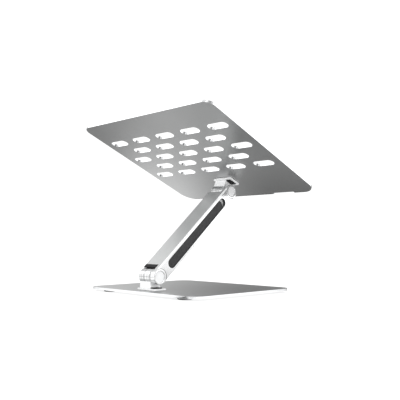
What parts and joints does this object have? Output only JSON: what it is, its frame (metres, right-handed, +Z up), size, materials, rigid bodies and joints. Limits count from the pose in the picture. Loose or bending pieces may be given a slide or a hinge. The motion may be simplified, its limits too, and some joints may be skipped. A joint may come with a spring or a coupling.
{
  "type": "laptop stand",
  "caption": "Folding aluminium laptop stand: flat base, single arm on two friction hinges, and a slotted tilting platform with front hooks.",
  "frame": {"origin": "on the table, in the middle of the stand's footprint as it stands open", "axes": "+X along both hinge axes, from the user's left to the right; +Y from the user towards the back; +Z up"},
  "size_m": [0.25, 0.214, 0.2257],
  "materials": {
    "satin_aluminium": "fine bead-blasted, anodised silver",
    "polished_aluminium": "bright polished",
    "steel": "machined",
    "dark_plastic": "fine textured",
    "rubber": "matt",
    "silicone": "matt, soft"
  },
  "bodies": {
    "base": {"base_plate": "satin_aluminium", "rubber_feet": "rubber", "lower_bracket": "polished_aluminium", "lower_bracket_screws": "steel", "lower_barrel_plug": "dark_plastic", "lower_bumper": "rubber"},
    "arm": {"arm": "polished_aluminium", "arm_strip_left": "dark_plastic", "arm_strip_right": "dark_plastic", "arm_plugs": "dark_plastic", "lower_hinge_pin": "steel", "lower_friction_washer": "dark_plastic", "lower_disc_springs": "steel", "lower_lock_nut": "steel", "lower_end_cap": "polished_aluminium", "upper_hinge_pin": "steel", "upper_friction_washer": "dark_plastic", "upper_disc_springs": "steel", "upper_lock_nut": "steel", "upper_end_cap": "polished_aluminium"},
    "platform": {"upper_bracket": "polished_aluminium", "upper_bracket_screws": "steel", "upper_barrel_plug": "dark_plastic", "upper_bumper": "rubber", "top_plate": "satin_aluminium", "hook_pad_left": "silicone", "hook_pad_right": "silicone", "rear_support_pads": "silicone", "front_support_pads": "silicone"}
  },
  "joints": [
    {"name": "lower_hinge", "type": "hinge", "parent": "base", "child": "arm", "pos_m": [0, 0.0805, 0.0225], "axis": [1, 0, 0], "range_deg": [-60, 41]},
    {"name": "upper_hinge", "type": "hinge", "parent": "arm", "child": "platform", "pos_m": [0, -0.04931, 0.13534], "axis": [1, 0, 0], "range_deg": [-65, 55]}
  ]
}
